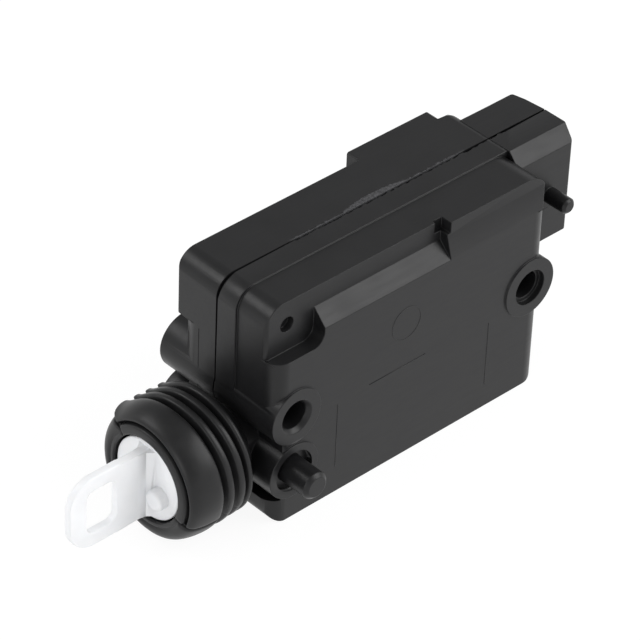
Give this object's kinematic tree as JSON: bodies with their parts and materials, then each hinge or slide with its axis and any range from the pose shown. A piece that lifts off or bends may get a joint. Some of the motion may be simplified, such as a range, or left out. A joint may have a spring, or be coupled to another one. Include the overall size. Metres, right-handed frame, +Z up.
{
  "type": "door latch actuator",
  "caption": "Electric door latch actuator in a flat black housing, with a rubber bellows, a white eye-ended plunger, a plug socket and two mounting holes.",
  "frame": {"origin": "on the axis of the left mounting hole, at the parting plane of the housing", "axes": "+X from the plunger towards the connector, +Y from the broad front face towards the mounting side, +Z up"},
  "size_m": [0.1314, 0.0405, 0.0525],
  "materials": {
    "housing_plastic": "moulded",
    "boot_rubber": "moulded",
    "plunger_plastic": "moulded",
    "buffer_rubber": "moulded",
    "gear_plastic": "moulded",
    "pin_steel": "ground",
    "can_steel": "drawn",
    "cap_plastic": "moulded",
    "magnet_ferrite": "ground",
    "bush_bronze": "sintered",
    "pinion_brass": "cut",
    "core_steel": "stamped",
    "winding_copper": "enamelled",
    "terminal_brass": "stamped"
  },
  "bodies": {
    "housing": {"front_housing": "housing_plastic", "rear_cover": "housing_plastic", "bellows_boot": "boot_rubber", "extend_buffer": "buffer_rubber", "retract_buffer": "buffer_rubber", "output_axle": "pin_steel", "intermediate_axle": "pin_steel", "motor_can": "can_steel", "motor_end_cap": "cap_plastic", "motor_magnets": "magnet_ferrite", "motor_front_bush": "bush_bronze", "motor_rear_bush": "bush_bronze", "motor_brushes": "magnet_ferrite", "brush_springs": "terminal_brass", "motor_damper": "buffer_rubber", "terminal_upper": "terminal_brass", "terminal_lower": "terminal_brass", "ptc_thermistor": "magnet_ferrite", "contact_spring": "terminal_brass"},
    "plunger": {"plunger_rack": "plunger_plastic"},
    "output_wheel": {"output_gear": "gear_plastic"},
    "intermediate_wheel": {"intermediate_gear": "gear_plastic"},
    "motor_rotor": {"motor_shaft": "pin_steel", "motor_pinion": "pinion_brass", "armature_core": "core_steel", "armature_windings": "winding_copper", "commutator": "winding_copper"}
  },
  "joints": [
    {"name": "plunger_slide", "type": "slide", "parent": "housing", "child": "plunger", "axis": [-1, 0, 0], "range_m": [0, 0.018], "deforming": ["bellows_boot"]},
    {"name": "output_gear_spin", "type": "hinge", "parent": "housing", "child": "output_wheel", "pos_m": [0.0297, 0, 0.0083], "axis": [0, 1, 0], "range_deg": [-1, 75]},
    {"name": "intermediate_gear_spin", "type": "hinge", "parent": "housing", "child": "intermediate_wheel", "pos_m": [0.04645, 0, 0.00441], "axis": [0, 1, 0], "range_deg": [-324, 4]},
    {"name": "motor_spin", "type": "hinge", "parent": "housing", "child": "motor_rotor", "pos_m": [0.0541, 0, 0.0143], "axis": [0, 1, 0], "range_deg": [-15, 1295]}
  ],
  "couplings": [
    {"joint": "output_gear_spin", "follows": "plunger_slide", "rad_per_m": 71.429},
    {"joint": "intermediate_gear_spin", "follows": "plunger_slide", "rad_per_m": -312.5},
    {"joint": "motor_spin", "follows": "plunger_slide", "rad_per_m": 1250}
  ]
}
